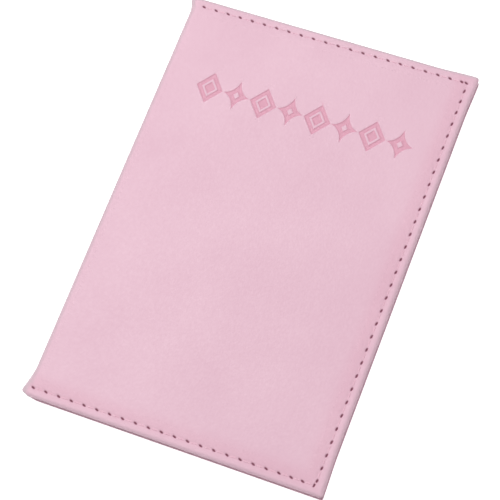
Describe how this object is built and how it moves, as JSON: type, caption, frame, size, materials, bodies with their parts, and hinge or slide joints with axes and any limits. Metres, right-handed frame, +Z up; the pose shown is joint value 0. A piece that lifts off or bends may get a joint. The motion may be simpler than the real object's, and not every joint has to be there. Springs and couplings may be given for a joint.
{
  "type": "passport holder",
  "caption": "Closed bi-fold passport holder in smooth leather: two stiffened covers that fold about a narrow spine strip, with a stitched edge, inner sleeves and card slots.",
  "frame": {"origin": "middle of the underside of the closed holder, which lies on its back cover", "axes": "+Z up through both covers, +Y along the covers to their top edge, +X across them from the spine to the opening side"},
  "size_m": [0.096, 0.142, 0.0048],
  "materials": {
    "outer_leather": "smooth, fine grained, low gloss",
    "inner_leather": "smooth, low gloss",
    "lining_fabric": "fine plain weave, matte",
    "board": "plain, matte",
    "thread": "twisted polyester thread, soft sheen"
  },
  "bodies": {
    "back_cover": {"back_cover_skin": "outer_leather", "back_cover_board": "board", "back_cover_lining": "lining_fabric", "back_cover_sleeve": "inner_leather", "back_cover_needle_thread": "thread", "back_cover_bobbin_thread": "thread", "sleeve_hem_thread": "thread"},
    "spine": {"spine_skin": "outer_leather", "spine_lining": "lining_fabric"},
    "front_cover": {"front_cover_skin": "outer_leather", "front_cover_board": "board", "front_cover_lining": "lining_fabric", "front_cover_sleeve": "inner_leather", "front_cover_needle_thread": "thread", "front_cover_bobbin_thread": "thread", "card_panel_upper": "inner_leather", "card_panel_middle": "inner_leather", "card_panel_lower": "inner_leather", "card_seam_thread": "thread"}
  },
  "joints": [
    {"name": "rear_crease", "type": "hinge", "parent": "back_cover", "child": "spine", "pos_m": [-0.04775, 0, 0.00025], "axis": [0, -1, 0], "range_deg": [0, 90]},
    {"name": "front_crease", "type": "hinge", "parent": "spine", "child": "front_cover", "pos_m": [-0.04775, 0, 0.00455], "axis": [0, -1, 0], "range_deg": [0, 90]}
  ]
}
